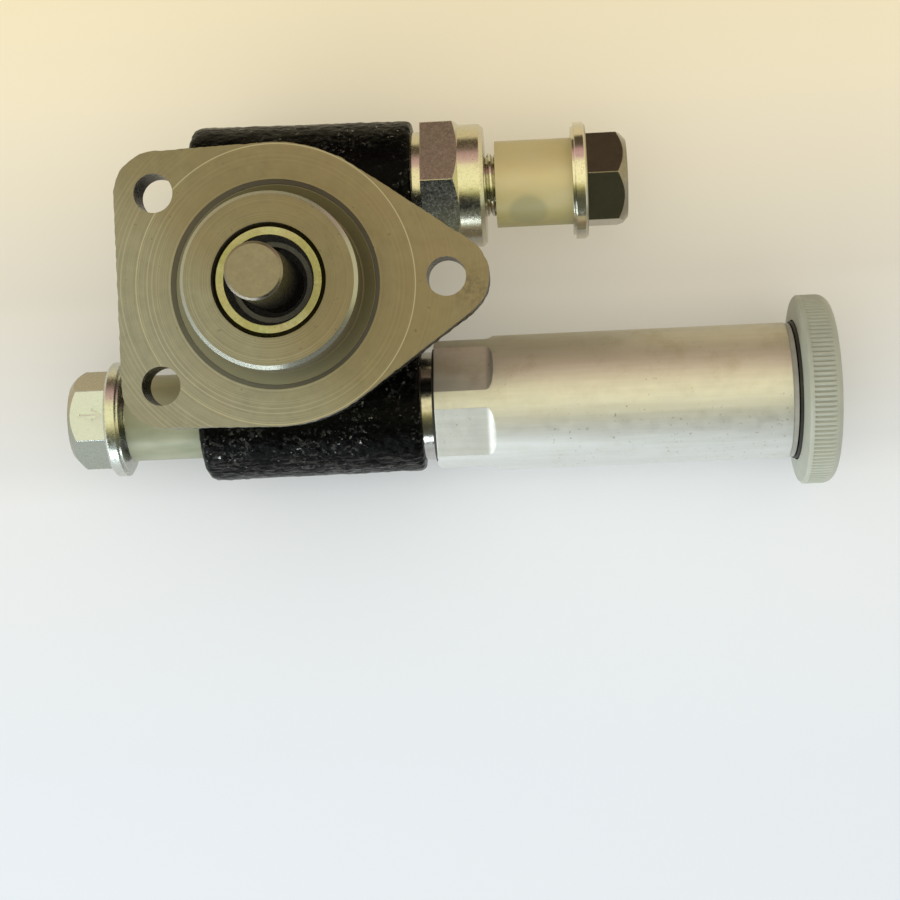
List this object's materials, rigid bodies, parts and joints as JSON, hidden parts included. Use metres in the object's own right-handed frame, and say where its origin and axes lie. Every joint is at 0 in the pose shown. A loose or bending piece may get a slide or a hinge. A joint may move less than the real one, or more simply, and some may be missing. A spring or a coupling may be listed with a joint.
{
  "type": "fuel feed pump",
  "caption": "Flange-mounted plunger fuel feed pump with a screw-down hand primer, hollow-bolt inlet and outlet ports and a cam-driven push rod.",
  "frame": {"origin": "pilot spigot's axis on the mounting flange's face", "axes": "+Z out of the pilot towards the engine, +X along the primer towards its knob, +Y towards the outlet"},
  "size_m": [0.1677, 0.0848, 0.0869],
  "materials": {
    "black_paint": "gloss black paint over rough cast iron, machined grey faces",
    "zinc_yellow": "yellow iridescent zinc plate",
    "bright_steel": "ground steel",
    "spring_steel": "drawn spring wire",
    "bronze": "turned bronze",
    "black_rubber": "moulded rubber",
    "milky_plastic": "translucent milky plastic",
    "satin_aluminium": "satin drawn aluminium",
    "cap_plastic": "grey moulded plastic",
    "valve_plastic": "moulded plastic",
    "knob_plastic": "light grey moulded plastic"
  },
  "bodies": {
    "root": {"housing": "black_paint", "seal_shell": "zinc_yellow", "rod_seal": "black_rubber", "guide_bush": "bronze", "rear_gasket": "bronze", "rear_plug": "zinc_yellow", "piston_spring": "spring_steel", "outlet_valve_seat": "bronze", "outlet_valve_spring": "spring_steel", "inlet_valve_seat": "bronze", "inlet_valve_spring": "spring_steel", "outlet_washer": "zinc_yellow", "outlet_holder": "zinc_yellow", "outlet_spacer": "milky_plastic", "outlet_bolt": "zinc_yellow", "inlet_spacer": "milky_plastic", "inlet_bolt": "zinc_yellow", "inlet_strainer": "bronze", "primer_ring": "bright_steel", "primer_gasket": "black_rubber", "primer_barrel": "satin_aluminium", "primer_cap": "cap_plastic"},
    "plunger": {"push_rod": "bright_steel", "piston": "bright_steel"},
    "inlet_valve": {"inlet_valve": "valve_plastic"},
    "outlet_valve": {"outlet_valve": "valve_plastic"},
    "primer_piston": {"primer_piston": "valve_plastic", "primer_seal": "black_rubber"},
    "knob": {"primer_rod": "bright_steel", "knob_gasket": "black_rubber", "primer_knob": "knob_plastic"}
  },
  "joints": [
    {"name": "plunger_stroke", "type": "slide", "parent": "root", "child": "plunger", "axis": [0, 0, 1], "range_m": [-0.008, 0], "stiffness_N_per_m": 1500, "springref_m": 0.015, "deforming": ["piston_spring"]},
    {"name": "inlet_valve_lift", "type": "slide", "parent": "root", "child": "inlet_valve", "axis": [1, 0, 0], "range_m": [0, 0.002], "stiffness_N_per_m": 150, "springref_m": -0.004, "deforming": ["inlet_valve_spring"]},
    {"name": "outlet_valve_lift", "type": "slide", "parent": "root", "child": "outlet_valve", "axis": [1, 0, 0], "range_m": [0, 0.002], "stiffness_N_per_m": 150, "springref_m": -0.004, "deforming": ["outlet_valve_spring"]},
    {"name": "primer_stroke", "type": "slide", "parent": "root", "child": "primer_piston", "axis": [1, 0, 0], "range_m": [0, 0.045]},
    {"name": "knob_turn", "type": "hinge", "parent": "primer_piston", "child": "knob", "pos_m": [0.11, -0.025, -0.038], "axis": [1, 0, 0], "continuous": true}
  ]
}
